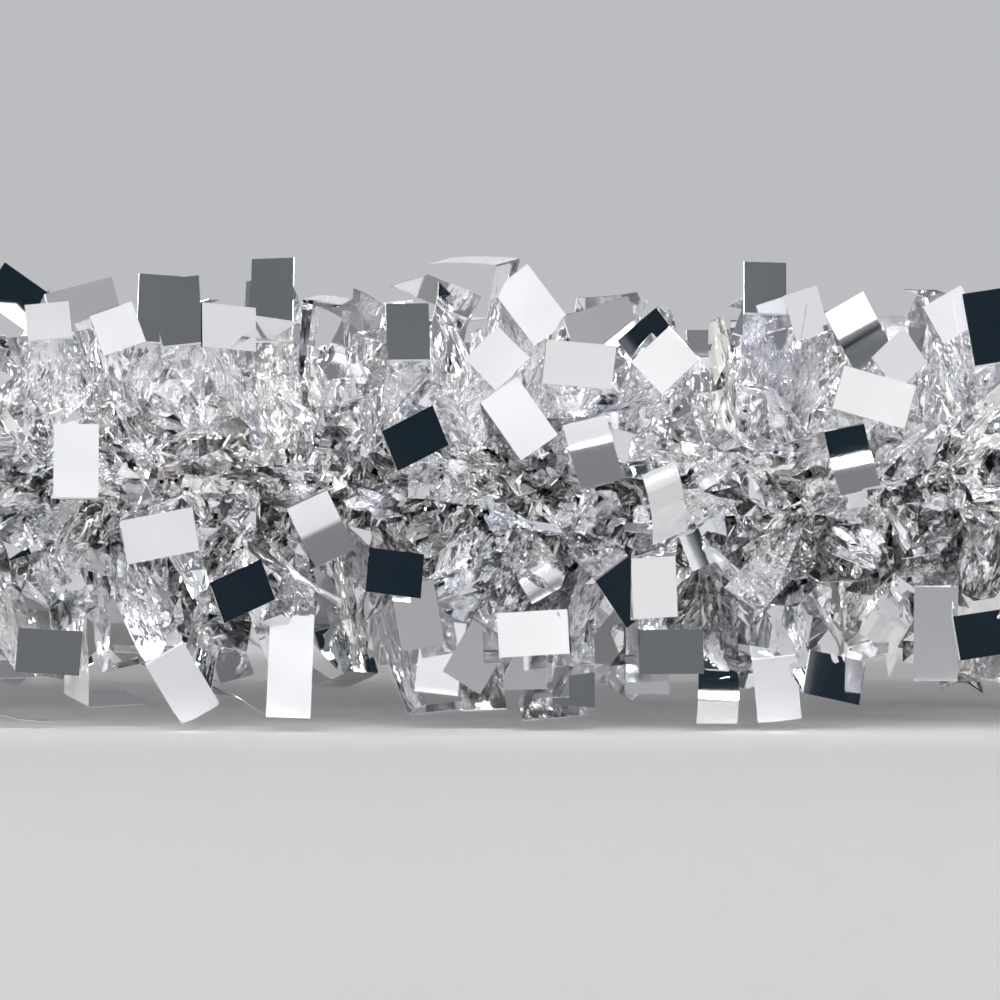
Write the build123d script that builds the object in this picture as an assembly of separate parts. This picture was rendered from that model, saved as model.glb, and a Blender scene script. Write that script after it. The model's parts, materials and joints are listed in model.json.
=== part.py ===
from build123d import *
import math
import os
import random

# A foil boa lying flat in three parallel runs joined by two half turns.
# Units are millimetres. +Z is up, the boa rests on z = 0, and the origin is on the floor
# under the middle of the middle run. The first run lies at the front (-Y) and heads along +X.
# Each length of the boa (a link) is a core cord with wide and fine foil fringe round it,
# and links turn on each other at hinge points on the core's axis.

# Boa
AXIS_HEIGHT = 52.0        # core's height above the floor, the reach of the strips it rests on
RUN_SPACING = 200.0       # between the axes of neighbouring runs
LONG_LINK = 146.0         # a straight run is three of these
TURN_LINKS = 4            # short links in each half turn
TURN_HINGES = TURN_LINKS + 1

# Core cord
CORE_RADIUS = 1.5
SOCKET_GAP = 0.2          # between a link's rounded end and the next link's hollow end

# Wide fringe: stars of strips, each strip's end folded over
STRIP_WIDTH = 9.5
STRIP_THICKNESS = 0.25
HUB_RADIUS = 2.6
STRIPS_PER_STAR = 12
STAR_PITCH = 20.0
LONGEST_STRIP = 51.0
SHORTEST_STRIP = 41.0
FOLD_LENGTH = 15.6
LEAST_FOLD = 4.0
AIM_SCATTER = 3.0         # degrees that a strip may point away from its even place
FLOOR_CLEARANCE = 0.5     # under every strip but the one that each star stands on

# Fine fringe: crumpled bunches between the stars
BUNCH_LENGTH = 9.5
BUNCH_RADIUS = 22.0
BUNCH_CORNERS = 18
BUNCH_RIPPLE = 5.0

# Room to turn at a hinge, in degrees from the square end of a link
INNER_BEVEL = 24.0        # inside of a half turn
OUTER_BEVEL = 8.0         # outside of a half turn
LIFT_BEVEL = 21.0         # above and below the hinges of a straight run

# End loops
KNOT_RADIUS = 3.6
LOOP_RADIUS = 8.0
LOOP_CORD_RADIUS = 1.0

TURN_STEP = 180.0 / TURN_HINGES
TURN_CHORDS = 2 * sum(math.sin(math.radians(TURN_STEP * k)) for k in (1, 2))
SHORT_LINK = RUN_SPACING / TURN_CHORDS
FIRST_END = Vector(-1.5 * LONG_LINK, -RUN_SPACING, AXIS_HEIGHT)


def chain():
    """The links in order: name number, length, heading, start point and the kind of each end."""
    run = [(LONG_LINK, 0.0)] * 3
    turn = [(SHORT_LINK, TURN_STEP)] * TURN_LINKS
    plan = run + turn + [(LONG_LINK, TURN_STEP)] + run[1:]
    back = [(SHORT_LINK, -TURN_STEP)] * TURN_LINKS
    plan += back + [(LONG_LINK, -TURN_STEP)] + run[1:]
    links, heading, point = [], 0.0, FIRST_END
    for number, (length, bend) in enumerate(plan, 1):
        heading += bend
        along = Vector(math.cos(math.radians(heading)), math.sin(math.radians(heading)), 0)
        links.append(
            {"number": number, "length": length, "heading": heading, "start": point, "bend": bend}
        )
        point = point + along * length
    for link, after in zip(links, links[1:] + [None]):
        link["next_bend"] = after["bend"] if after else None
    links[0]["bend"] = None
    return links


def bevel(bend, aim):
    """The slope, towards an aim round the core, of the space that a hinge leaves free."""
    if bend is None:
        return 0.0
    if bend == 0.0:
        return abs(math.sin(aim)) * math.tan(math.radians(LIFT_BEVEL))
    inwards = math.cos(aim) * math.copysign(1.0, bend)
    slope = INNER_BEVEL if inwards > 0 else OUTER_BEVEL
    return abs(inwards) * math.tan(math.radians(slope))


def free_reach(link, low, high, aim):
    """How far something between two places along a link may reach towards an aim."""
    reach = math.inf
    for bend, room in ((link["bend"], low), (link["next_bend"], link["length"] - high)):
        slope = bevel(bend, aim)
        if slope > 1e-6:
            reach = min(reach, room / slope)
    return reach


def polar(radius, aim):
    return (radius * math.cos(aim), radius * math.sin(aim))


def strip_plan(link, place, chance, side):
    """Each strip of one star: its aim round the core, its length and its fold's length."""
    strips = []
    step = 360.0 / STRIPS_PER_STAR
    low, high = place - STRIP_WIDTH / 2, place + STRIP_WIDTH / 2
    for index in range(STRIPS_PER_STAR):
        down = index == 0
        aim = -90.0 + index * step
        length = AXIS_HEIGHT
        if not down:
            aim += chance.uniform(-AIM_SCATTER, AIM_SCATTER)
            length = chance.uniform(SHORTEST_STRIP, LONGEST_STRIP)
        aim = math.radians(aim if side > 0 else 180.0 - aim)
        fold = FOLD_LENGTH
        if not down:
            while length * math.sin(aim) - abs(fold * math.cos(aim)) < FLOOR_CLEARANCE - AXIS_HEIGHT:
                length -= 1.0
        corner_aim = aim + side * math.atan2(fold, length)
        room = free_reach(link, low, high, aim)
        corner_room = free_reach(link, low, high, corner_aim)
        scale = min(1.0, room / length, corner_room / math.hypot(length, fold))
        length, fold = length * scale, max(fold * scale, LEAST_FOLD)
        strips.append((aim, length, fold))
    return strips if side > 0 else strips[::-1]


def star_outline(strips, side):
    """A star's outline in the plane across the core, as a closed run of points."""
    points = []
    half = math.asin(STRIP_THICKNESS / 2 / HUB_RADIUS)
    for aim, length, fold in sorted(strips, key=lambda strip: strip[0] % math.tau):
        out = Vector(math.cos(aim), math.sin(aim))
        across = Vector(-math.sin(aim), math.cos(aim))
        inner = length - STRIP_THICKNESS
        arm = STRIP_THICKNESS / 2
        root = HUB_RADIUS * math.cos(half)
        if side > 0:
            corners = [(root, -arm), (length, -arm), (length, fold), (inner, fold), (inner, arm), (root, arm)]
        else:
            corners = [(root, -arm), (inner, -arm), (inner, -fold), (length, -fold), (length, arm), (root, arm)]
        points += [out * reach + across * shift for reach, shift in corners]
    return [(point.X, point.Y) for point in points]


def across_core(points, start, thickness):
    """A flat outline with a hole for the core, extruded along the link from a place on it."""
    plane = Plane(origin=(start, 0, 0), x_dir=(0, 1, 0), z_dir=(1, 0, 0))
    outer = Wire.make_polygon([plane.from_local_coords(Vector(x, y, 0)) for x, y in points])
    hole = Wire.make_circle(CORE_RADIUS, plane)
    return extrude(Face(outer, [hole]), amount=thickness, dir=(1, 0, 0))


def star_places(link):
    """Where the middles of a link's stars lie along it, evenly about the link's middle."""
    count = int((link["length"] - STRIP_WIDTH) // STAR_PITCH) + 1
    first = link["length"] / 2 - (count - 1) * STAR_PITCH / 2
    return [first + index * STAR_PITCH for index in range(count)]


def chance_for(link, place, last):
    """The same chance, and opposite sides, for two places that mirror each other along the boa."""
    middle = (last + 1) / 2
    offset = place - link["length"] / 2
    distance = abs(link["number"] - middle) * 1000 + math.copysign(1, link["number"] - middle) * offset
    forward = link["number"] > middle or (link["number"] == middle and offset >= 0)
    seed = round(abs(offset) if link["number"] == middle else distance)
    return random.Random(seed), 1 if forward else -1


def wide_fringe(link, last):
    """The stars of wide strips on one link."""
    stars = []
    for place in star_places(link):
        chance, side = chance_for(link, place, last)
        strips = strip_plan(link, place, chance, side)
        stars.append(across_core(star_outline(strips, side), place - STRIP_WIDTH / 2, STRIP_WIDTH))
    return stars


def fine_fringe(link, last):
    """The bunches of fine crumpled strips on one link, between its stars."""
    bunches = []
    for place in [star + STAR_PITCH / 2 for star in star_places(link)[:-1]]:
        chance, side = chance_for(link, place, last)
        low, high = place - BUNCH_LENGTH / 2, place + BUNCH_LENGTH / 2
        points = []
        for corner in range(BUNCH_CORNERS):
            aim = math.tau * corner / BUNCH_CORNERS
            aim = aim if side > 0 else math.pi - aim
            reach = BUNCH_RADIUS - BUNCH_RIPPLE * (corner % 2) - chance.uniform(0, BUNCH_RIPPLE / 2)
            points.append(polar(min(reach, free_reach(link, low, high, aim)), aim))
        bunches.append(across_core(points if side > 0 else points[::-1], low, BUNCH_LENGTH))
    return bunches


def core(link):
    """A link's core cord: hollow where it meets the link before, rounded where it meets the next."""
    cord = Pos(link["length"] / 2, 0, 0) * Rot(0, 90, 0) * Cylinder(CORE_RADIUS, link["length"])
    if link["bend"] is not None:
        cord -= Sphere(CORE_RADIUS + SOCKET_GAP)
    if link["next_bend"] is not None:
        cord += Pos(link["length"], 0, 0) * Sphere(CORE_RADIUS)
    return [cord.solid()]


def end_finish(link, first):
    """The knot and the loop of core yarn at one free end of the boa."""
    end = 0.0 if first else link["length"]
    outwards = -1.0 if first else 1.0
    knot_middle = end + outwards * KNOT_RADIUS
    loop_middle = knot_middle + outwards * (LOOP_RADIUS + LOOP_CORD_RADIUS)
    loop = Pos(loop_middle, 0, 0) * Torus(LOOP_RADIUS, LOOP_CORD_RADIUS)
    knot = Pos(knot_middle, 0, 0) * Sphere(KNOT_RADIUS) - loop
    return [knot.solid()], [loop.solid()]


def write(name, link, solids):
    """Stands a link's solids where the link lies and writes them as one named node."""
    place = Location(link["start"], (0, 0, link["heading"]))
    node = Compound(label=name, children=[solid.moved(place) for solid in solids])
    export_step(node, f"parts/{name}.step")


def main():
    os.makedirs("parts", exist_ok=True)
    links = chain()
    last = len(links)
    for link in links:
        number = f"{link['number']:02d}"
        write(f"core_cord_{number}", link, core(link))
        write(f"wide_fringe_{number}", link, [star.solid() for star in wide_fringe(link, last)])
        write(f"fine_fringe_{number}", link, [bunch.solid() for bunch in fine_fringe(link, last)])
    for link, first, name in ((links[0], True, "start"), (links[-1], False, "finish")):
        knot, loop = end_finish(link, first)
        write(f"end_knot_{name}", link, knot)
        write(f"end_loop_{name}", link, loop)


main()
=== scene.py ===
"""A boa of mirror-silver foil: wide folded strips and fine crumpled film round a twisted core cord."""

import json
import math

import bpy
import numpy as np
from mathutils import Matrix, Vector


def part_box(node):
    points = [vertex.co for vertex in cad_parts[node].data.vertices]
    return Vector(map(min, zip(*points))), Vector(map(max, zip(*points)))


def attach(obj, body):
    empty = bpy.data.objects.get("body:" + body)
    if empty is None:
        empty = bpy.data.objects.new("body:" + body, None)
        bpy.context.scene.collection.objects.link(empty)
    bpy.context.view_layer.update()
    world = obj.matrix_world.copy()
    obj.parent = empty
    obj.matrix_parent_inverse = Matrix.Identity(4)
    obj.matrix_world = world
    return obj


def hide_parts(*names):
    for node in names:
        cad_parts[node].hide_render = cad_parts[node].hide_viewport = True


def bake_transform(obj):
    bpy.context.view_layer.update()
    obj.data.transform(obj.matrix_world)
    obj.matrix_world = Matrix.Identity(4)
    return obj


MM = 0.001

# Core cord
YARN_RADIUS = 0.85 * MM
TWIST_RADIUS = 0.75 * MM
TWIST_PITCH = 7.0 * MM
CORD_STEP = 1.0 * MM
YARN_SIDES = 7

# The knot and the loop at each end: their yarn is finer than the core's by END_YARN
KNOT_RADIUS = 3.6 * MM
LOOP_RADIUS = 8.0 * MM
LOOP_OFFSET = 9.0 * MM
LOOP_GAP = 0.10
END_YARN = 0.62

# Wide strips
STRIP_WIDTH = 9.5 * MM
FOLD_LENGTH = 15.6 * MM
FILM_THICKNESS = 0.12 * MM
WIDE_PER_METRE = 820
FOLDED_SHARE = 0.68
REACH = (31.0 * MM, 47.5 * MM)
STRAIGHT_REACH = (24.0 * MM, 41.0 * MM)
LYING_SHARE = 0.20
LYING_REACH = (22.0 * MM, 38.0 * MM)

# Fine film: crumbs and flakes near the core, and longer slivers between the wide strips
CRUMBS_PER_METRE = 5000
FLAKES_PER_METRE = 2800
SLIVERS_PER_METRE = 1200
CRUMPLED_LENGTH = 30 * MM

# Facets of crushed film: how many to a millimetre across and along a strip, and how much painted shade
# dims the colour of the dimmest facets against the brightest, in place of facets turned away from the light
FACETS_PER_MM = (0.8, 0.35)
FACET_PAINTED_SHADE = 0.2

# Roots are drawn together in tufts that wind round the core, by so much for wide strips and for fine film
WIDE_TUFT, FINE_TUFT = 4.5 * MM, 2.5 * MM
TUFT_SPACING = 9 * MM
GOLDEN_ANGLE = 2.39996

# Above the floor, the height under which strips press softly onto it
SOFT_FLOOR = 2.0 * MM

# The front stretch, which the camera sees, has its folded ends placed one by one
FRONT_HALF = 112 * MM
FRONT_DEPTH = 43 * MM
CAMERA_DISTANCE = 1.5
SHOWN_WIDTH = 0.217

# The light tent: how many white panels stand round it, and its rows of small lamps
PANELS = 4
LAMP_COLUMNS, LAMP_ROWS, LOWEST_LAMPS = 24.0, 16.5, 0.04
LAMP_RADIANCE = 16.0
BLACK, DIM, PALE = (0.008, 0.016, 0.024), (0.13, 0.14, 0.15), (0.36, 0.36, 0.38)
WHITE, SKY = (0.74, 0.74, 0.76), (0.22, 0.22, 0.24)

# Light that only dull surfaces receive: a band round the horizon, and a patch at the front
FILL_LIGHT, FILL_TOP = 4.5, 0.45
FRONT_LIGHT = 22.0

# Floor, backdrop and the radiance of the softboxes
FLOOR_HALF = 6.0
FLOOR_PAPER = (0.85, 0.85, 0.85)
BACKDROP = (0.50, 0.51, 0.53)
KEY_LIGHT, TOP_LIGHT, BACK_LIGHT = 1.2, 0.6, 1.5

# What a folded end at the front mirrors: azimuth and height of that part of the studio, in degrees
MIRRORED = {
    "white": (6, 14),
    "white_left": (-18, 20),
    "white_right": (17, 8),
    "white_side": (74, 12),
    "pale": (26.5, 10),
    "pale_left": (-26.5, 14),
    "dim": (31.5, 10),
    "dim_left": (-31.5, 12),
    "black": (45, 12),
    "black_left": (-45, 16),
    "floor": (10, -24),
    "above": (4, 126),
    "edge": (0, 158),
}

# The folded ends that show at the front: place along and above the core, way from crease to tip
# (degrees), length, what it mirrors, and how far it curls away (degrees). Lengths in millimetres
FACING = [
    (-92, 6, 90, 15.6, "white", 0),
    (-74, -10, 11, 15.6, "white_left", 0),
    (-74, 39, 88, 14.5, "dim", 0),
    (-69.5, 38.5, 94, 14.5, "dim_left", 2),
    (-49.5, 41, 90, 18, "dim_left", 5),
    (-104, 41, 145, 15.6, "black_left", 0),
    (-90.5, 39.5, 15, 15, "pale", 0),
    (-83, 35, -70, 9, "white", 0),
    (-59, 35, -5, 14, "white_side", 0),
    (-18.5, 11, 27, 12.5, "black_left", 0),
    (4, 15.5, -55, 15, "white", 0),
    (20, 8, -76, 14.5, "white_right", -24),
    (-23, -18, -8, 12, "black", -4),
    (-18, -27, -80, 14, "pale", 0),
    (27.5, -22, -56, 12, "black", 0),
    (33.5, -21, -88, 13, "white_left", 0),
    (7.5, -31, -177, 15, "white", 8),
    (37, -35, 0, 14, "dim", 0),
    (-0.5, 28.5, -135, 10, "white_right", 0),
    (6.5, 40, -53, 15, "white", 0),
    (17, 27, -5, 15, "white_left", 0),
    (22, 35, 18, 15, "pale", 0),
    (32.5, 32, -140, 12, "black", -8),
    (36, 28, -137, 11, "white", 0),
    (57.5, 43.5, 90, 11, "dim", 0),
    (66.5, 38, 106, 10, "white_side", 0),
    (78, 34, 118, 15.6, "pale_left", 16),
    (86.5, 28, 44, 11, "white_side", 0),
    (81, 20, -16, 15.8, "white", 0),
    (98, 38, -60, 9, "white_right", 0),
    (106, 35, 100, 15.6, "black", 0),
    (76, 6.5, -78, 14, "black", -14),
    (-98, -35, -3, 14, "dim_left", 0),
    (72.5, -40.5, -12, 13, "dim", 8),
    (-56, -22, 25, 12.5, "black_left", 0),
    (106, -31, 8, 15.6, "black", 0),
    (-45.5, -38, -92, 22, "white", 4),
    (47.5, -45, -90, 12, "black", 12),
    (94.5, -31, -92, 20, "pale_left", 8),
    (-69, -42, -60, 15.6, "floor", 0),
    (-13, -36, -98, 15.6, "white_left", 12),
    (-5, -36, -120, 13, "pale", 0),
    (16, -42.5, -90, 9, "dim_left", 0),
    (11.5, -47, 5, 14, "above", 0),
    (60, -43, -84, 14, "floor", 0),
    (-20, 34, 92, 12, "dim", 0),
    (37, -3, -70, 15.6, "white_side", 35),
    (-39, -8.5, -65, 14, "white_right", -20),
    (-5.5, 50, 172, 17, "edge", 10),
    (5.5, -38.5, -90, 9, "pale_left", 0),
    (32, -40, -90, 8, "pale", 0),
]

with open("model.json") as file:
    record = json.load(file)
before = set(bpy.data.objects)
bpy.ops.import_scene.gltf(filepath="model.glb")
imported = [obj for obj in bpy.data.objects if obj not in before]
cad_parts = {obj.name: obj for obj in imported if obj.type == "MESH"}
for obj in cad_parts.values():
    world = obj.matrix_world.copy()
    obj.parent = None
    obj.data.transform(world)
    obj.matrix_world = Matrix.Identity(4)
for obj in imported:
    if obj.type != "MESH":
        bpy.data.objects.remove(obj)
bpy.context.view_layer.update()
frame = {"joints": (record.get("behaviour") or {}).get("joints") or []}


# ---------------------------------------------------------------- the boa's line

class Line:
    """The smooth line of the core: straight runs, with round bends at the hinges that turn sideways."""

    def __init__(self, joints):
        first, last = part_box("core_cord_01"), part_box("core_cord_17")
        self.height = joints[0]["pos_m"][2]
        ends = [(first[0].x, joints[0]["pos_m"][1]), (last[1].x, joints[-1]["pos_m"][1])]
        corners = [ends[0]] + [tuple(joint["pos_m"][:2]) for joint in joints] + [ends[1]]
        self.corners = np.array(corners)
        steps = np.diff(self.corners, axis=0)
        self.lengths = np.hypot(*steps.T)
        self.headings = np.unwrap(np.arctan2(steps[:, 1], steps[:, 0]))
        self.trace()

    def trace(self, step=0.5 * MM):
        """Samples the line, and notes how far along it each link's middle comes."""
        turns = np.diff(self.headings)
        halves = np.minimum(self.lengths[:-1], self.lengths[1:]) / 2
        cuts = np.where(np.abs(turns) > 1e-6, halves, 0.0)
        before, after = np.append(0.0, cuts), np.append(cuts, 0.0)
        spots, angles = [], []
        self.middles, travelled = [], 0.0
        for k, length in enumerate(self.lengths):
            straight = length - before[k] - after[k]
            self.middles.append(travelled + max(length / 2 - before[k], 0.0))
            count = max(int(straight / step), 0)
            along = np.linspace(before[k], length - after[k], count, endpoint=False)
            ahead = np.array([math.cos(self.headings[k]), math.sin(self.headings[k])])
            spots.append(self.corners[k] + along[:, None] * ahead)
            angles.append(np.full(count, self.headings[k]))
            travelled += straight
            if k < len(turns) and cuts[k] > 0:
                radius = cuts[k] / math.tan(abs(turns[k]) / 2)
                arc = abs(turns[k]) * radius
                start = self.corners[k + 1] - ahead * cuts[k]
                side = math.copysign(1.0, turns[k])
                centre = start + radius * side * np.array([-ahead[1], ahead[0]])
                count = max(int(arc / step), 1)
                angle = self.headings[k] + turns[k] * np.arange(count) / count
                out = np.stack([np.sin(angle), -np.cos(angle)], 1) * radius * side
                spots.append(centre + out)
                angles.append(angle)
                travelled += arc
        spots.append(self.corners[-1:])
        angles.append(self.headings[-1:])
        self.spots, self.angles = np.concatenate(spots), np.concatenate(angles)
        gaps = np.hypot(*np.diff(self.spots, axis=0).T)
        self.marks = np.append(0.0, np.cumsum(gaps))
        self.length = self.marks[-1]

    def frames(self, s):
        """For each distance along: the point, the way ahead, the way left and the way up."""
        x = np.interp(s, self.marks, self.spots[:, 0])
        y = np.interp(s, self.marks, self.spots[:, 1])
        a = np.interp(s, self.marks, self.angles)
        zero = np.zeros_like(x)
        point = np.stack([x, y, zero + self.height], -1)
        ahead = np.stack([np.cos(a), np.sin(a), zero], -1)
        left = np.stack([-np.sin(a), np.cos(a), zero], -1)
        up = np.stack([zero, zero, zero + 1], -1)
        return point, ahead, left, up


# ---------------------------------------------------------------- small vector helpers

def unit(v):
    return v / np.maximum(np.linalg.norm(v, axis=-1, keepdims=True), 1e-12)


def square_to(v, d):
    """The part of v that is square to the unit vector d, made a unit vector."""
    return unit(v - (v * d).sum(-1, keepdims=True) * d)


def column(values):
    return np.asarray(values)[:, None]


def above_floor(points, lift):
    """Presses points softly onto the floor, each strip at its own small height."""
    z = points[..., 2]
    low = z < SOFT_FLOOR
    pressed = SOFT_FLOOR * np.exp((z - SOFT_FLOOR) / SOFT_FLOOR / 3)
    floor = np.broadcast_to(lift.reshape(-1, *[1] * (z.ndim - 1)), z.shape)
    points[..., 2] = np.where(low, np.maximum(pressed, floor), z)
    return points


# ---------------------------------------------------------------- meshes from repeated pieces

def repeated(template, count, size):
    """One strip's faces, as lists of corner numbers, repeated for every strip."""
    corners = np.concatenate([np.array(face) for face in template])
    totals = np.array([len(face) for face in template])
    starts = np.append(0, np.cumsum(totals)[:-1])
    shift = np.arange(count)[:, None]
    return (corners + shift * size).ravel(), (starts + shift * len(corners)).ravel()


def make_object(name, points, template, smooth, marks, sharp_row=None):
    """A mesh object of many strips. points: strip, corner, xyz. marks: name to a value for each corner.

    A mark of three values for each corner becomes a vector attribute.
    """
    count, size = points.shape[:2]
    corners, starts = repeated(template, count, size)
    mesh = bpy.data.meshes.new(name)
    mesh.vertices.add(count * size)
    mesh.vertices.foreach_set("co", points.reshape(-1).astype(np.float32))
    mesh.loops.add(len(corners))
    mesh.loops.foreach_set("vertex_index", corners.astype(np.int32))
    mesh.polygons.add(len(starts))
    mesh.polygons.foreach_set("loop_start", starts.astype(np.int32))
    mesh.polygons.foreach_set("use_smooth", smooth.ravel())
    mesh.update(calc_edges=True)
    if sharp_row is not None:
        ends = np.zeros(len(mesh.edges) * 2, np.int32)
        mesh.edges.foreach_get("vertices", ends)
        on_crease = sharp_row[ends.reshape(-1, 2) % size].all(1)
        mesh.edges.foreach_set("use_edge_sharp", on_crease)
    for mark, values in marks.items():
        vector = np.ndim(values) == 3
        layer = mesh.attributes.new(mark, "FLOAT_VECTOR" if vector else "FLOAT", "POINT")
        full = np.broadcast_to(values, (count, size, 3) if vector else (count, size))
        layer.data.foreach_set("vector" if vector else "value", full.ravel().astype(np.float32))
    made = bpy.data.objects.new(name, mesh)
    bpy.context.scene.collection.objects.link(made)
    return made


def sheet_template(rows, columns):
    """Faces of a thin closed sheet: a top grid of corners, then the same grid for the bottom."""
    def at(row, col, under):
        return under * rows * columns + row * columns + col

    faces, broad = [], []
    for row in range(rows - 1):
        for col in range(columns - 1):
            around = [(row, col), (row, col + 1), (row + 1, col + 1), (row + 1, col)]
            faces.append([at(r, c, 0) for r, c in around])
            faces.append([at(r, c, 1) for r, c in reversed(around)])
            broad += [True, True]
    rim = [(0, c) for c in range(columns)] + [(r, columns - 1) for r in range(1, rows)]
    rim += [(rows - 1, c) for c in range(columns - 2, -1, -1)] + [(r, 0) for r in range(rows - 2, 0, -1)]
    for here, there in zip(rim, rim[1:] + rim[:1]):
        faces.append([at(*there, 0), at(*here, 0), at(*here, 1), at(*there, 1)])
        broad.append(False)
    return faces, np.array(broad)


def thickened(grid, thickness):
    """The top and bottom corners of thin closed sheets round their middle grids."""
    down = np.gradient(grid, axis=1)
    across = np.gradient(grid, axis=2)
    face = unit(np.cross(across, down))
    half = face * thickness / 2
    flat = grid.shape[0], grid.shape[1] * grid.shape[2], 3
    return np.concatenate([(grid - half).reshape(flat), (grid + half).reshape(flat)], 1)


# ---------------------------------------------------------------- wide strips

ROWS = np.array([0.0, 0.13, 0.28, 0.45, 0.63, 0.82, 1.0])
COLUMNS = np.array([-1.0, -0.35, 0.32, 1.0])
FOLD_ROWS = np.array([0.25, 0.5, 0.75, 1.0])
CREASE_ROUND = 0.35 * MM


def spiral_roots(chance, low, high, per_metre, bunch):
    """Places along a stretch and angles round it, drawn together in tufts that wind round the core."""
    count = max(int(round((high - low) * per_metre)), 1)
    aim = (np.arange(count) * GOLDEN_ANGLE + chance.normal(0, 0.3, count)) % math.tau
    s = low + (np.arange(count) + chance.uniform(0, 1, count)) * (high - low) / count
    return np.clip(s + bunch * np.sin(s / TUFT_SPACING + aim), low, high), aim


def wide_strips(chance, line, low, high):
    """Corner grids of the wide strips on a stretch of the line: strip, row, column, xyz."""
    s, aim = spiral_roots(chance, low, high, WIDE_PER_METRE, WIDE_TUFT)
    n = len(s)
    point, ahead, left, up = line.frames(s)
    out = np.cos(column(aim)) * left + np.sin(column(aim)) * up
    around = -np.sin(column(aim)) * left + np.cos(column(aim)) * up
    lean = column(chance.normal(0, 0.26, n)) * ahead + column(chance.normal(0, 0.16, n)) * around
    kind = chance.uniform(0, 1, n)
    folded = kind < FOLDED_SHARE
    in_front = (point[:, 1] < line.corners[0][1] + MM) & (np.abs(point[:, 0]) < FRONT_HALF)
    crowding = in_front & (out[:, 1] < -0.25 + 0.7 * (chance.uniform(0, 1, n) < 0.5))
    folded = folded & ~crowding
    lying = ~folded & ((kind > 1 - LYING_SHARE) | crowding & (chance.uniform(0, 1, n) < -out[:, 1] + 0.2))
    sideways = square_to(unit(chance.normal(0, 1, (n, 3))), out)
    way = unit(out + np.where(column(lying), sideways * 1.6, lean))
    reach = np.where(folded, chance.uniform(*REACH, n), chance.uniform(*STRAIGHT_REACH, n))
    reach = np.where(lying, chance.uniform(*LYING_REACH, n), reach / (way * out).sum(-1))
    root = point + way * 1.4 * MM
    tip = point + way * column(reach)
    e1 = square_to(ahead, way)
    turn = column(chance.uniform(0, math.pi, n))
    crease = np.cos(turn) * e1 + np.sin(turn) * np.cross(way, e1)
    crease = np.where(column(lying), unit(np.cross(way, out)), crease)
    tilt = np.where(folded, chance.normal(1.57, 0.16, n), chance.normal(0, 0.22, n))
    tilt = column(tilt * chance.choice([-1.0, 1.0], n))
    fold_way = np.cos(tilt) * way + np.sin(tilt) * np.cross(way, crease)
    skew = column(np.where(folded, chance.normal(0, 0.10, n), 0.0))
    crease = unit(crease + skew * way)
    fold_way = square_to(fold_way, crease)
    curl = np.where(chance.uniform(0, 1, n) < 0.35, chance.normal(0, 0.35, n), chance.normal(0, 0.05, n))
    size = np.where(folded, FOLD_LENGTH * chance.uniform(0.93, 1.03, n), chance.uniform(4, 9, n) * MM)
    cut = np.where(folded, chance.uniform(0, 1, n), 0.5)
    random = strip_grids(chance, root, tip, crease, fold_way, size, curl, cut)
    placed = facing_strips(chance, line, low, high)
    return random if placed is None else np.concatenate([random, placed])


def facing_strips(chance, line, low, high):
    """The strips whose folded ends FACING places, as far as they root on this stretch."""
    along, above, angle, size, mirrored, curl = zip(*FACING)
    along, above, size = np.array(along) * MM, np.array(above) * MM, np.array(size) * MM
    angle, curl = np.radians(angle), np.radians(curl)
    azimuth, height = np.radians([MIRRORED[name] for name in mirrored]).T
    beam = np.stack([
        np.sin(azimuth) * np.cos(height),
        -np.cos(azimuth) * np.cos(height),
        np.sin(height),
    ], 1)
    front = line.corners[0][1]
    depth = np.sqrt(np.maximum(FRONT_DEPTH, np.abs(above) + 2 * MM) ** 2 - above ** 2)
    nearer = 1 - depth / CAMERA_DISTANCE
    middle = np.stack([along * nearer, front - depth, line.height + above * nearer], 1)
    eye = np.array([0, front - CAMERA_DISTANCE, line.height])
    normal = unit(unit(eye - middle) + beam)
    fold_way = np.stack([np.cos(angle), np.zeros_like(angle), np.sin(angle)], 1)
    fold_way[:, 1] = -(fold_way * normal).sum(1) / normal[:, 1]
    fold_way = unit(fold_way)
    crease = np.cross(normal, fold_way)
    tip = middle - fold_way * column(size / 2)
    out = tip - [0, front, line.height]
    steady = np.where(np.abs(crease[:, 0]) < 0.05, 0.05, crease[:, 0])
    shift = (out[:, 1] * crease[:, 1] + out[:, 2] * crease[:, 2]) / steady
    root = tip[:, 0] + np.clip(shift, -15 * MM, 15 * MM)
    root = np.stack([root, 0 * root + front, 0 * root + line.height], 1)
    s = root[:, 0] - line.corners[0][0]
    here = (s >= low) & (s < high)
    if not here.any() or high > line.lengths[:3].sum():
        return None
    square = np.full(here.sum(), 0.5)
    strips = [part[here] for part in (root, tip, crease, fold_way, size, curl)]
    return strip_grids(chance, *strips, square)


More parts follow.
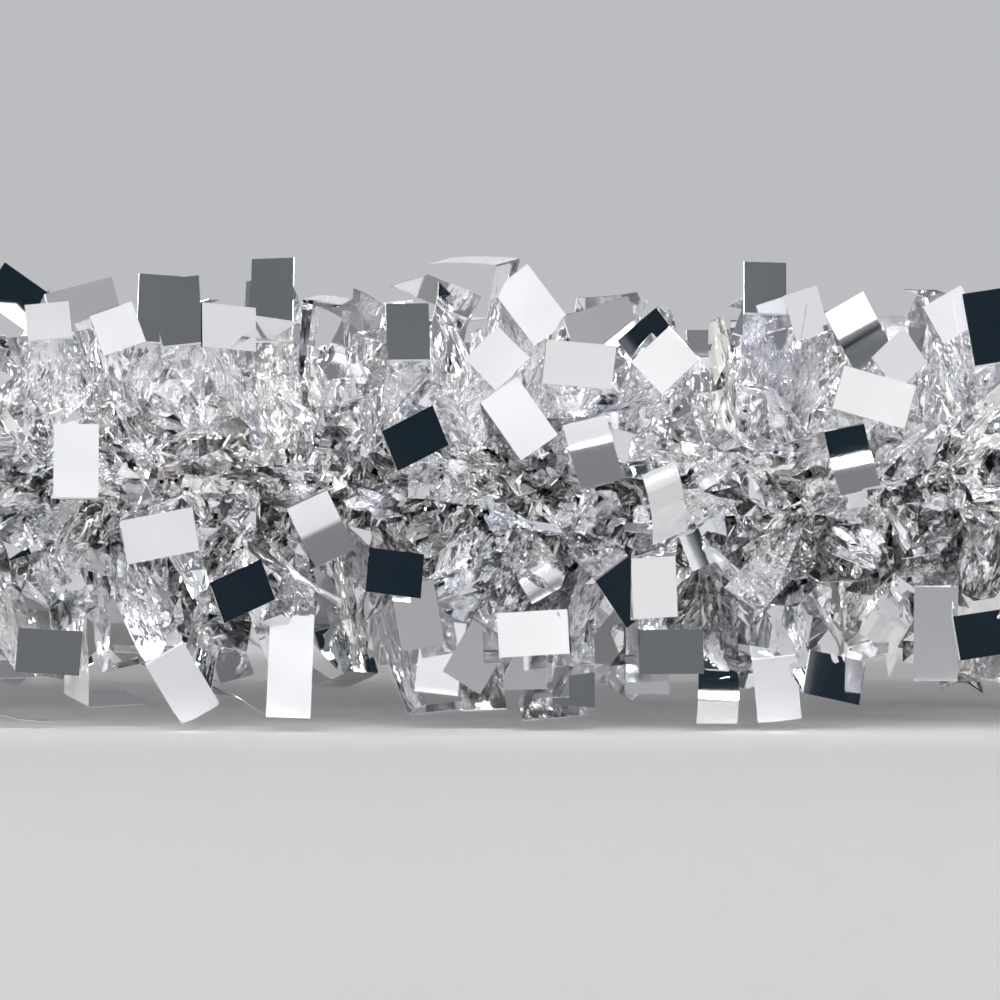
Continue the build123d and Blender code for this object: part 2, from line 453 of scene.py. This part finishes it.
def strip_grids(chance, root, tip, crease, fold_way, size, curl, cut):
    """Strips gathered at their roots that twist, open out, reach their creases and fold over."""
    n = len(size)
    way = unit(tip - root)
    reach = np.linalg.norm(tip - root, axis=1)
    width_way = square_to(crease, way)
    twist = chance.normal(0, 0.75, n)
    bow_way = square_to(unit(chance.normal(0, 1, (n, 3))), way)
    bow = chance.normal(0, 1.6 * MM, n)
    u = ROWS[None, :]
    middle = root[:, None] + way[:, None] * (reach[:, None] * u)[..., None]
    middle = middle + bow_way[:, None] * (column(bow) * np.sin(math.pi * u))[..., None]
    angle = twist[:, None] * (1 - u) ** 1.5
    normal = np.cross(way, width_way)
    across = np.cos(angle)[..., None] * width_way[:, None] + np.sin(angle)[..., None] * normal[:, None]
    facing = np.cross(way[:, None], across)
    across = unit(across + (crease - width_way)[:, None] * (u ** 3)[..., None])
    opened = np.clip(reach[:, None] * u / (24 * MM), 0, 1)
    opened = opened * opened * (3 - 2 * opened)
    half = STRIP_WIDTH / 2 * (0.30 + 0.70 * opened)
    half[:, -1] = STRIP_WIDTH / 2
    grid = middle[:, :, None] + across[:, :, None] * (half[..., None] * COLUMNS)[..., None]
    # pleats: deep at the gathered root, flat at the fold
    pleat = chance.choice([-1.0, 1.0], (n, 1, 1)) * np.array([0.15, 1.0, -0.9, 0.1])
    depth = (1.5 * MM * (1 - opened) + 0.35 * MM * (1 - u))[..., None]
    grid = grid + facing[:, :, None] * (pleat * depth)[..., None]
    rough = (0.95 * MM * (1 - opened) + 0.22 * MM)[..., None, None] * (u < 1)[..., None, None]
    grid = grid + chance.normal(0, 1, grid.shape) * rough * 0.55
    # the folded end: a narrow rounded crease, then the flap, cut notched, square or slanting
    notch = np.where(column(cut) < 0.07, -0.45, 0) * np.array([0, 1.0, 1.0, 0])
    slant = np.where(column(cut) > 0.92, 0.22, 0) * COLUMNS
    ends = [grid[:, -1] + (unit(way + fold_way) * CREASE_ROUND)[:, None]]
    start = 0.0
    for share in FOLD_ROWS:
        turned = column(curl * (start + share) / 2)
        lean = np.cos(turned) * fold_way + np.sin(turned) * np.cross(crease, fold_way)
        length = column(size) * ((share - start) + (notch + slant) * (share == 1))
        ends.append(ends[-1] + lean[:, None] * length[..., None])
        start = share
    return np.concatenate([grid, np.stack(ends, 1)], 1)


def wide_object(name, chance, grid):
    """The wide strips as one mesh object, faceted or smooth strip by strip."""
    n, rows, columns = grid.shape[:3]
    grid = above_floor(grid, chance.uniform(0.15, 1.6, n) * MM)
    template, broad = sheet_template(rows, columns)
    smooth = (chance.uniform(0, 1, (n, 1)) < 0.45) & broad[None]
    past_crease = np.repeat(np.arange(rows - 1) >= len(ROWS), 2 * (columns - 1))
    smooth[:, :len(past_crease)] |= past_crease
    crease = np.zeros((rows, columns), bool)
    crease[len(ROWS) - 1:len(ROWS) + 1] = True
    tint = chance.uniform(0, 1, (n, 1))
    rootness = np.repeat(np.append(1 - ROWS, np.zeros(rows - len(ROWS))), columns)
    marks = {
        "tint": tint,
        "crumple": np.tile(rootness, 2)[None],
        "strip_at": strip_places(tint, rows, columns, 2, REACH[1] / (len(ROWS) - 1), STRIP_WIDTH / 3),
    }
    points = thickened(grid, FILM_THICKNESS)
    return make_object(name, points, template, smooth, marks, np.tile(crease.ravel(), 2))


def strip_places(tint, rows, columns, sides, row_length, column_width):
    """Where each corner is on its own strip, in millimetres across and along, and the strip's own number."""
    down, over = np.arange(rows) * row_length, np.arange(columns) * column_width
    along, across = np.meshgrid(down, over, indexing="ij")
    across, along = np.tile(across.ravel(), sides) / MM, np.tile(along.ravel(), sides) / MM
    size = (len(tint), len(along))
    return np.stack([
        np.broadcast_to(across, size),
        np.broadcast_to(along, size),
        np.broadcast_to(tint * 1000, size),
    ], 2)


# ---------------------------------------------------------------- fine film

def prism_template(rows):
    """Faces of a closed strip with a three-cornered section: a narrow film folded along its middle."""
    faces = []
    for row in range(rows - 1):
        for side in range(3):
            a, b = row * 3 + side, row * 3 + (side + 1) % 3
            faces.append([a, b, b + 3, a + 3])
    last = (rows - 1) * 3
    return faces + [[2, 1, 0], [last, last + 1, last + 2]]


def fine_strips(chance, line, low, high, per_metre, spread, length, width, bend, rows, crush):
    """Narrow crumpled strips that leave the core and bend over, so that their faces look outward.

    length, width: least and most. bend: mean and spread, in radians. Returns strip, corner, xyz.
    """
    s, aim = spiral_roots(chance, low, high, per_metre, FINE_TUFT)
    n = len(s)
    point, _, left, up = line.frames(s)
    out = np.cos(column(aim)) * left + np.sin(column(aim)) * up
    way = unit(out + spread * chance.normal(0, 1, (n, 3)))
    way = np.where((way * out).sum(-1, keepdims=True) < 0.2, unit(way + out), way)
    long = chance.uniform(*length, n)
    wide = chance.uniform(*width, n)
    u = np.linspace(0, 1, rows)
    over = square_to(unit(chance.normal(0, 1, (n, 3))), way)
    angle = column(np.clip(chance.normal(*bend, n), 0.1, 2.2)) * u[None] ** 1.3
    run = np.cos(angle)[..., None] * way[:, None] + np.sin(angle)[..., None] * over[:, None]
    steps = run * (long / (rows - 1))[:, None, None]
    middle = (point + way * 1.2 * MM)[:, None] + np.cumsum(steps, 1) - steps[:, :1]
    middle = middle + np.cumsum(chance.normal(0, 1, (n, rows, 3)), 1) * crush * 0.35 * u[None, :, None]
    side = np.broadcast_to(np.cross(way, over)[:, None], run.shape)
    face = np.cross(run, side)
    turn = column(chance.normal(0, 0.5, n)) + np.cumsum(chance.normal(0, 0.35, (n, rows)), 1)
    across = np.cos(turn)[..., None] * side + np.sin(turn)[..., None] * face
    facing = np.cross(run, across)
    taper = (0.45 + 0.55 * np.minimum(u * 2.5, 1)) * (1 - 0.35 * np.maximum(u - 0.75, 0) * 4)
    half = column(wide / 2) * taper
    ridge = column(chance.uniform(0.12, 0.5, n)) * half + 0.08 * MM
    points = np.stack([
        middle - across * half[..., None],
        middle + across * half[..., None],
        middle + facing * ridge[..., None],
    ], 2)
    points = points + chance.normal(0, 1, points.shape) * crush * 0.5
    return above_floor(points.reshape(n, rows * 3, 3), chance.uniform(0.15, 1.6, n) * MM)


def fine_object(name, chance, groups):
    """The fine film of one stretch as one mesh object."""
    made = []
    for points in groups:
        n, corners = points.shape[:2]
        template = prism_template(corners // 3)
        tint = chance.uniform(0, 1, (n, 1))
        places = strip_places(tint, corners // 3, 3, 1, 2 * MM, 1.5 * MM)
        out_from_root = np.linalg.norm(points - points[:, :1], axis=2)
        crumple = np.clip(1.3 - out_from_root / CRUMPLED_LENGTH, 0.15, 1.0)
        marks = {"tint": tint, "crumple": crumple, "strip_at": places}
        flat = np.zeros((n, len(template)), bool)
        made.append(make_object(name, points, template, flat, marks))
    for other in made[1:]:
        join(made[0], other)
    return made[0]


def join(kept, other):
    with bpy.context.temp_override(active_object=kept, selected_editable_objects=[kept, other]):
        bpy.ops.object.join()


# ---------------------------------------------------------------- core cord

def tube_template(rows, sides):
    faces = []
    for row in range(rows - 1):
        for side in range(sides):
            a, b = row * sides + side, row * sides + (side + 1) % sides
            faces.append([a, b, b + sides, a + sides])
    last = (rows - 1) * sides
    return faces + [list(range(sides))[::-1], list(range(last, last + sides))]


def tube(centres, radius, sides):
    """A closed tube's corners round a run of centres."""
    ahead = unit(np.gradient(centres, axis=0))
    side = square_to(np.broadcast_to([0.0, 0.0, 1.0], ahead.shape) + 1e-4, ahead)
    other = np.cross(ahead, side)
    angle = np.arange(sides) * math.tau / sides
    ring = np.cos(angle)[None, :, None] * side[:, None] + np.sin(angle)[None, :, None] * other[:, None]
    return (centres[:, None] + ring * radius).reshape(-1, 3)


def yarn_pair(name, centres, left, up, start, size=1.0):
    """Two yarns twisted round a line of centres, as one mesh object."""
    step = np.linalg.norm(np.diff(centres, axis=0), axis=1)
    phase = (start + np.append(0, np.cumsum(step))) / (TWIST_PITCH * size) * math.tau
    yarns = []
    for turn in (0.0, math.pi):
        swing = np.cos(phase + turn)[:, None] * left + np.sin(phase + turn)[:, None] * up
        yarns.append(tube(centres + swing * TWIST_RADIUS * size, YARN_RADIUS * size, YARN_SIDES))
    template = tube_template(len(centres), YARN_SIDES)
    smooth = np.ones((2, len(template)), bool)
    smooth[:, -2:] = False
    return make_object(name, np.stack(yarns), template, smooth, {"tint": np.array([[0.3], [0.7]])})


def core_object(name, line, low, high):
    s = np.linspace(low, high, int((high - low) / CORD_STEP) + 1)
    point, _, left, up = line.frames(s)
    return yarn_pair(name, point, left, up, low)


def fine_cord(name, centres):
    """A finer twisted cord along any run of centres that never stands upright."""
    ahead = unit(np.gradient(centres, axis=0))
    left = unit(np.cross([0.0, 0.0, 1.0], ahead))
    return yarn_pair(name, centres, left, np.cross(ahead, left), 0.0, END_YARN)


def end_objects(line, first):
    """The overhand knot and the hanging loop at one end of the boa."""
    end = 0.0 if first else line.length
    point, ahead, left, up = line.frames(np.array([end]))
    outwards = -ahead if first else ahead
    middle = point + outwards * KNOT_RADIUS
    t = np.linspace(0, math.tau, 120)[:, None]
    reach = (KNOT_RADIUS - YARN_RADIUS) / 3
    knot = (2 + np.cos(3 * t)) * (np.cos(2 * t) * outwards + np.sin(2 * t) * left) + np.sin(3 * t) * up
    t = np.linspace(LOOP_GAP - math.pi, math.pi - LOOP_GAP, 100)[:, None]
    loop = np.cos(t) * outwards + np.sin(t) * left
    side = "start" if first else "finish"
    return (
        fine_cord(f"knotted_cord_{side}", middle + knot * reach),
        fine_cord(f"looped_cord_{side}", middle + outwards * LOOP_OFFSET + loop * LOOP_RADIUS),
    )


# ---------------------------------------------------------------- materials

class Graph:
    """A material's or a world's nodes, added one call each."""

    def __init__(self, tree):
        self.nodes, self.links = tree.nodes, tree.links

    def add(self, kind, settings=None, **inputs):
        """A node of a kind. Each input is a value or another node's output; _ in its name is a space."""
        node = self.nodes.new("ShaderNode" + kind)
        for name, value in (settings or {}).items():
            setattr(node, name, value)
        self.feed(node, **inputs)
        return node

    def feed(self, node, **inputs):
        for name, value in inputs.items():
            key = name.replace("_", " ")
            socket = node.inputs[int(key[1:])] if key[1:].isdigit() else node.inputs[key]
            if isinstance(value, bpy.types.NodeSocket):
                self.links.new(value, socket)
            else:
                socket.default_value = value

    def math(self, operation, *values):
        inputs = {f"i{k}": value for k, value in enumerate(values)}
        return self.add("Math", {"operation": operation}, **inputs).outputs[0]

    def vector(self, operation, *values, scale=None):
        inputs = {f"i{k}": value for k, value in enumerate(values)}
        if scale is not None:
            inputs["Scale"] = scale
        return self.add("VectorMath", {"operation": operation}, **inputs).outputs[0]

    def ramp(self, fac, *stops):
        """A colour ramp with (position, colour) stops."""
        node = self.add("ValToRGB", Fac=fac)
        elements = node.color_ramp.elements
        for k, (position, colour) in enumerate(stops):
            element = elements[k] if k < 2 else elements.new(position)
            element.position = position
            element.color = (*colour, 1)
        return node.outputs["Color"]

    def spread(self, value, low, high, start=0.0, stop=1.0):
        """The value, moved from the range start to stop into the range low to high."""
        node = self.add("MapRange", Value=value, From_Min=start, From_Max=stop, To_Min=low, To_Max=high)
        return node.outputs["Result"]


def node_material(name):
    made = bpy.data.materials.new(name)
    made.use_nodes = True
    return made, Graph(made.node_tree), made.node_tree.nodes["Principled BSDF"]


def film_material(name, colours, roughness, metal, facets):
    """Metallised film: mirror-bright where it is flat, and creased, duller and finely faceted where crushed,
    its crushed facets carrying painted shade.

    colours: tints that strips take by chance. roughness: least and most. metal, facets: at flat film and
    at fully crushed film.
    """
    made, graph, shader = node_material(name)
    where = graph.add("TexCoord").outputs["Object"]
    tint = graph.add("Attribute", {"attribute_name": "tint"}).outputs["Fac"]
    crumple = graph.add("Attribute", {"attribute_name": "crumple"}).outputs["Fac"]
    strip_at = graph.add("Attribute", {"attribute_name": "strip_at"}).outputs["Vector"]
    stops = [(k / (len(colours) - 1), colour) for k, colour in enumerate(colours)]
    blotch = graph.add("TexNoise", Vector=where, Scale=90.0, Detail=3.0).outputs["Fac"]
    # creases run along the strip
    stretched = graph.vector("MULTIPLY", strip_at, (0.9, 0.12, 1.0))
    creases = graph.add("TexNoise", Vector=stretched, Scale=1.0, Detail=2.0).outputs["Fac"]
    bump = graph.add("Bump", Distance=0.7 * MM, Height=creases, Strength=graph.spread(crumple, 0.002, 0.6))
    # crushed film breaks up into facets about a millimetre across, longer along the strip
    spot = graph.vector("MULTIPLY", strip_at, (*FACETS_PER_MM, 1.0))
    cells = graph.add("TexVoronoi", Vector=spot, Scale=1.0, Detail=1.0, Roughness=0.6)
    cells = cells.outputs["Color"]
    facet = graph.add("SeparateColor", Color=cells)
    duller = graph.math("MULTIPLY", crumple, graph.spread(facet.outputs["Red"], 1.0, 0.0, 0.2, 0.8))
    # painted shade: the colour of crushed facets is dimmed at random, most where the film is crushed, in
    # place of facets that turn away from the light
    shade = graph.spread(facet.outputs["Green"], FACET_PAINTED_SHADE, 0.0, 0.2, 0.8)
    painted_shade = graph.math("MULTIPLY", crumple, shade)
    colour = graph.vector("SCALE", graph.ramp(tint, *stops), scale=graph.math("SUBTRACT", 1.0, painted_shade))
    tilt = graph.vector("SUBTRACT", cells, (0.5, 0.5, 0.5))
    tilt = graph.vector("SCALE", tilt, scale=graph.spread(crumple, *facets))
    normal = graph.vector("NORMALIZE", graph.vector("ADD", bump.outputs["Normal"], tilt))
    graph.feed(
        shader,
        Base_Color=colour,
        Roughness=graph.spread(blotch, *roughness),
        Metallic=graph.spread(duller, *metal),
        Normal=normal)
    return made


def yarn_material():
    """Silver-grey polyester yarn, with the fine fibres that run along its twist."""
    made, graph, shader = node_material("core_yarn")
    where = graph.add("TexCoord").outputs["Object"]
    fibres = graph.add("TexNoise", Vector=where, Scale=1800.0, Detail=4.0).outputs["Fac"]
    bump = graph.add("Bump", Strength=0.6, Distance=0.15 * MM, Height=fibres)
    graph.feed(
        shader,
        Base_Color=graph.ramp(fibres, (0.0, (0.42, 0.42, 0.44)), (1.0, (0.80, 0.80, 0.82))),
        Roughness=0.6,
        Sheen_Weight=0.3,
        Normal=bump.outputs["Normal"])
    return made


# ---------------------------------------------------------------- putting the boa together

def stretches(line):
    """(lowest, highest) along the line for each hinge: from link middle to link middle, ends included."""
    bounds = [0.0] + line.middles[1:-1] + [line.length]
    return list(zip(bounds, bounds[1:]))


def build_boa():
    """Makes every piece with its material, hangs the end knots and loops on their links' bodies, and returns
    the line it all follows.
    """
    line = Line(frame["joints"])
    mirror = film_material(
        "mirror_film",
        [(0.93, 0.94, 0.96), (0.95, 0.95, 0.95), (0.92, 0.93, 0.96), (0.96, 0.95, 0.94)],
        (0.03, 0.08), (1.0, 0.10), (0.0, 0.9))
    crumpled = film_material(
        "crumpled_film",
        [(0.95, 0.95, 0.97), (0.98, 0.95, 0.96), (0.92, 0.94, 0.98), (0.98, 0.97, 0.93), (0.97, 0.97, 0.97)],
        (0.03, 0.08), (1.0, 0.05), (0.0, 1.05))
    yarn = yarn_material()
    for index, (low, high) in enumerate(stretches(line)):
        chance = np.random.default_rng(100 + index)
        number = f"{index + 1:02d}"
        pair = [f"link_{index + 1:02d}", f"link_{index + 2:02d}"]
        wide = wide_object(f"wide_foil_{number}", chance, wide_strips(chance, line, low, high))
        crumbs = fine_strips(
            chance, line, low, high, CRUMBS_PER_METRE, 0.7,
            (9 * MM, 18 * MM), (1.6 * MM, 3.4 * MM), (1.2, 0.6), 6, 0.8 * MM)
        flakes = fine_strips(
            chance, line, low, high, FLAKES_PER_METRE, 0.5,
            (14 * MM, 28 * MM), (2.4 * MM, 4.8 * MM), (1.1, 0.45), 9, 0.9 * MM)
        slivers = fine_strips(
            chance, line, low, high, SLIVERS_PER_METRE, 0.25,
            (28 * MM, 44 * MM), (3.0 * MM, 6.5 * MM), (0.6, 0.35), 9, 0.8 * MM)
        fine = fine_object(f"fine_foil_{number}", chance, [crumbs, flakes, slivers])
        core = core_object(f"twisted_core_{number}", line, low, high)
        for piece, material, slot, node in (
            (wide, mirror, "mirror_film", "wide_fringe"),
            (fine, crumpled, "crumpled_film", "fine_fringe"),
            (core, yarn, "core_yarn", "core_cord"),
        ):
            piece.data.materials.append(material)
            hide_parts(*[f"{node}_{link[-2:]}" for link in pair])
            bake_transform(piece)
    for first, side, body in ((True, "start", "link_01"), (False, "finish", f"link_{len(line.lengths):02d}")):
        for piece, node in zip(end_objects(line, first), ("end_knot", "end_loop")):
            piece.data.materials.append(yarn)
            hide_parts(f"{node}_{side}")
            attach(piece, body)
    return line


# ---------------------------------------------------------------- studio

def plain_material(name, colour, roughness):
    made, graph, shader = node_material(name)
    graph.feed(shader, Base_Color=(*colour, 1), Roughness=roughness)
    return made


def softbox(name, place, aim, size, radiance):
    """A rectangular light as bright as stated, wherever it is seen or mirrored."""
    light = bpy.data.lights.new(name, "AREA")
    light.shape = "RECTANGLE"
    light.size, light.size_y = size
    light.energy = radiance * math.pi * size[0] * size[1]
    made = bpy.data.objects.new(name, light)
    bpy.context.scene.collection.objects.link(made)
    made.location = place
    made.rotation_euler = (Vector(aim) - Vector(place)).to_track_quat("-Z", "Y").to_euler()
    return made


def tent(graph):
    """Light that the film mirrors: white panels all round, grey at their edges, and black between.

    Above is a grey sky with a white ring. Rows of small lamps, and a flash at the front, make the sparks
    in the crushed film.
    """
    way = graph.add("TexCoord").outputs["Generated"]
    x, y, z = graph.add("SeparateXYZ", Vector=way).outputs
    toward = graph.math("MULTIPLY", y, -1.0)
    azimuth = graph.math("ARCTAN2", x, toward)
    wave = graph.math("COSINE", graph.math("MULTIPLY", azimuth, float(PANELS)))
    side = graph.ramp(
        graph.spread(wave, 0.0, 1.0, -1.0, 1.0),
        (0.135, BLACK), (0.580, WHITE), (0.150, DIM), (0.270, DIM), (0.290, PALE), (0.560, PALE))
    roof = graph.ramp(z, (0.76, SKY), (0.88, SKY), (0.78, WHITE), (0.86, WHITE))
    is_roof = graph.ramp(z, (0.42, (0, 0, 0)), (0.46, (1, 1, 1)))
    mix = graph.add("Mix", {"data_type": "RGBA"})
    graph.links.new(is_roof, mix.inputs[0])
    graph.links.new(side, mix.inputs[6])
    graph.links.new(roof, mix.inputs[7])
    columns = graph.math("COSINE", graph.math("MULTIPLY", azimuth, LAMP_COLUMNS))
    rows = graph.math("COSINE", graph.math("MULTIPLY", graph.math("SUBTRACT", z, LOWEST_LAMPS), LAMP_ROWS))
    rows = graph.math("MAXIMUM", rows, 0.0)
    lamps = graph.spread(graph.math("MULTIPLY", columns, rows), 0.0, LAMP_RADIANCE, 0.84, 0.88)
    flash = graph.spread(toward, 0.0, LAMP_RADIANCE / 2, 0.989, 0.992)
    panels = graph.add("Background", Color=mix.outputs[2]).outputs[0]
    sparks = graph.add("Background", Color=(1, 1, 1, 1), Strength=graph.math("ADD", lamps, flash)).outputs[0]
    return graph.add("AddShader", i0=panels, i1=sparks).outputs[0]


def studio(line):
    """Floor, softboxes, and a world that is one thing to the camera, one to mirrors and one to the rest."""
    front = line.corners[0][1]
    half = FLOOR_HALF
    corners = [(-half, -half, 0), (half, -half, 0), (half, half, 0), (-half, half, 0)]
    mesh = bpy.data.meshes.new("floor")
    mesh.from_pydata(corners, [], [(0, 1, 2, 3)])
    mesh.materials.append(plain_material("floor_paper", FLOOR_PAPER, 0.9))
    floor = bpy.data.objects.new("floor", mesh)
    bpy.context.scene.collection.objects.link(floor)
    target = (0, front, line.height)
    softbox("key_softbox", (-0.9, front - 1.1, 1.2), target, (0.8, 0.6), KEY_LIGHT)
    softbox("top_softbox", (0.2, 0.1, 1.7), target, (1.0, 0.8), TOP_LIGHT)
    softbox("back_softbox", (0.9, 1.3, 1.1), (0, 0, 0), (0.7, 0.5), BACK_LIGHT)
    world = bpy.data.worlds.new("studio")
    bpy.context.scene.world = world
    world.use_nodes = True
    graph = Graph(world.node_tree)
    ray = graph.add("LightPath")
    _, y, z = graph.add("SeparateXYZ", Vector=graph.add("TexCoord").outputs["Generated"]).outputs
    fill = graph.spread(graph.math("ABSOLUTE", z), FILL_LIGHT, 0.0, 0.0, FILL_TOP)
    front_fill = graph.spread(graph.math("MULTIPLY", y, -1.0), 0.0, FRONT_LIGHT, 0.88, 0.96)
    fill = graph.math("ADD", fill, front_fill)
    ambient = graph.add("Background", Color=(0.99, 0.99, 1.0, 1), Strength=fill).outputs[0]
    backdrop = graph.add("Background", Color=(*BACKDROP, 1)).outputs[0]
    light = graph.add("MixShader", i0=ray.outputs["Is Glossy Ray"], i1=ambient, i2=tent(graph))
    light = graph.add("MixShader", i0=ray.outputs["Is Camera Ray"], i1=light.outputs[0], i2=backdrop)
    graph.links.new(light.outputs[0], world.node_tree.nodes["World Output"].inputs["Surface"])


def camera(line):
    """A level camera square to the front run, far enough away to look nearly flat."""
    made = bpy.data.cameras.new("camera")
    made.sensor_width = 36.0
    made.lens = made.sensor_width * CAMERA_DISTANCE / SHOWN_WIDTH
    held = bpy.data.objects.new("camera", made)
    bpy.context.scene.collection.objects.link(held)
    held.location = (0, line.corners[0][1] - CAMERA_DISTANCE, line.height - 2.2 * MM)
    held.rotation_euler = (math.pi / 2, 0, 0)
    bpy.context.scene.camera = held


bpy.context.scene.view_settings.view_transform = "Standard"
bpy.context.scene.cycles.glossy_bounces = 10
boa_line = build_boa()
studio(boa_line)
camera(boa_line)
